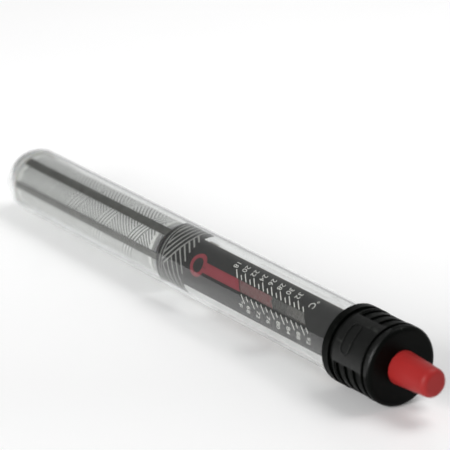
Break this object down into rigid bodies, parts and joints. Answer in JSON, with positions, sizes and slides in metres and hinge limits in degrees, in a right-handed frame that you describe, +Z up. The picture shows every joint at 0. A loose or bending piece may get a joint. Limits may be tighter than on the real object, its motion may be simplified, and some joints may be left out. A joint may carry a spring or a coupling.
{
  "type": "submersible aquarium heater",
  "caption": "Glass tube aquarium heater with a grooved black cap, red setting knob, temperature scale with a sliding indicator, bimetal thermostat and wound ceramic heating core.",
  "frame": {"origin": "on the axis of the glass tube, at the plane where the glass enters the cap", "axes": "+X along the tube towards the cap and the knob, -X towards the domed end, +Z up with the heater lying down; the middle of the scale faces -Y and up, 31 degrees above the horizontal"},
  "size_m": [0.3039, 0.0338, 0.0338],
  "materials": {
    "clear_glass": "clear, polished",
    "cap_plastic": "black, satin, rubber-like",
    "seal_rubber": "black, matte",
    "plug_plastic": "off-white, moulded",
    "knob_plastic": "deep red, satin",
    "nylon": "natural, smooth",
    "spring_steel": "bright",
    "indicator_plastic": "dusty red, matte",
    "label_film": "black-grey printed film",
    "window_film": "smoky, see-through",
    "phenolic": "brown, moulded",
    "plated_steel": "zinc plated",
    "lever_steel": "stamped",
    "contact_silver": "silver alloy, polished",
    "bimetal": "rolled, slightly tinted",
    "brass": "turned",
    "magnet_ferrite": "dark grey, ground",
    "lamp_glass": "clear with an orange tint",
    "resistor_lacquer": "lacquered",
    "capacitor_case": "blue, moulded",
    "lead_insulation": "white, silicone",
    "tinned_copper": "tinned",
    "shield_aluminium": "bright",
    "ceramic_white": "unglazed",
    "ceramic_core": "unglazed, light grey",
    "resistance_wire": "oxidised",
    "glass_fibre": "woven, pale grey",
    "rail_steel": "dark grey",
    "silicone": "translucent white",
    "cord_rubber": "black, matte",
    "core_insulation": "brown"
  },
  "bodies": {
    "housing": {"glass_tube": "clear_glass", "cap_body": "cap_plastic", "mouth_gasket": "seal_rubber", "inner_plug": "plug_plastic", "plug_oring": "seal_rubber", "knob_oring": "seal_rubber", "spindle_bearing": "nylon", "scale_label": "label_film", "scale_window": "window_film", "thermostat_frame": "phenolic", "frame_screws": "plated_steel", "lever_pin": "plated_steel", "bimetal_post": "plated_steel", "bimetal_rivet": "brass", "magnet": "magnet_ferrite", "neon_lamp": "lamp_glass", "resistor": "resistor_lacquer", "capacitor": "capacitor_case", "lead_wires": "lead_insulation", "crimp_sleeves": "tinned_copper", "heat_shield": "shield_aluminium", "end_spacers": "ceramic_white", "ceramic_core": "ceramic_core", "heating_coil": "resistance_wire", "fibre_sleeve": "glass_fibre", "support_rails": "rail_steel", "bottom_cushion": "silicone", "cord_gland": "cord_rubber", "cord_jacket": "cord_rubber", "cord_cores": "core_insulation"},
    "knob_shaft": {"knob": "knob_plastic", "spindle": "nylon", "spindle_clip": "spring_steel"},
    "indicator": {"indicator_carriage": "indicator_plastic"},
    "setting_arm": {"setting_lever": "lever_steel", "fixed_contact": "contact_silver"},
    "bimetal_arm": {"bimetal_strip": "bimetal", "moving_contact": "contact_silver", "armature": "plated_steel"}
  },
  "joints": [
    {"name": "knob_turn", "type": "hinge", "parent": "housing", "child": "knob_shaft", "pos_m": [0.03, 0, 0], "axis": [-1, 0, 0], "range_deg": [-1028.57, 771.43]},
    {"name": "indicator_slide", "type": "slide", "parent": "housing", "child": "indicator", "axis": [1, 0, 0], "range_m": [-0.0246, 0.01845]},
    {"name": "lever_tilt", "type": "hinge", "parent": "housing", "child": "setting_arm", "pos_m": [-0.024, 0.00703, -0.00422], "axis": [0, 0.515, 0.8572], "range_deg": [-0.92, 0.69]},
    {"name": "bimetal_flex", "type": "hinge", "parent": "housing", "child": "bimetal_arm", "pos_m": [-0.03835, 0.01016, -0.0061], "axis": [0, 0.515, 0.8572], "range_deg": [-0.8, 0.6]}
  ],
  "couplings": [
    {"joint": "indicator_slide", "follows": "knob_turn", "m_per_rad": 0.0013694},
    {"joint": "lever_tilt", "follows": "knob_turn", "ratio": 0.00088351}
  ]
}
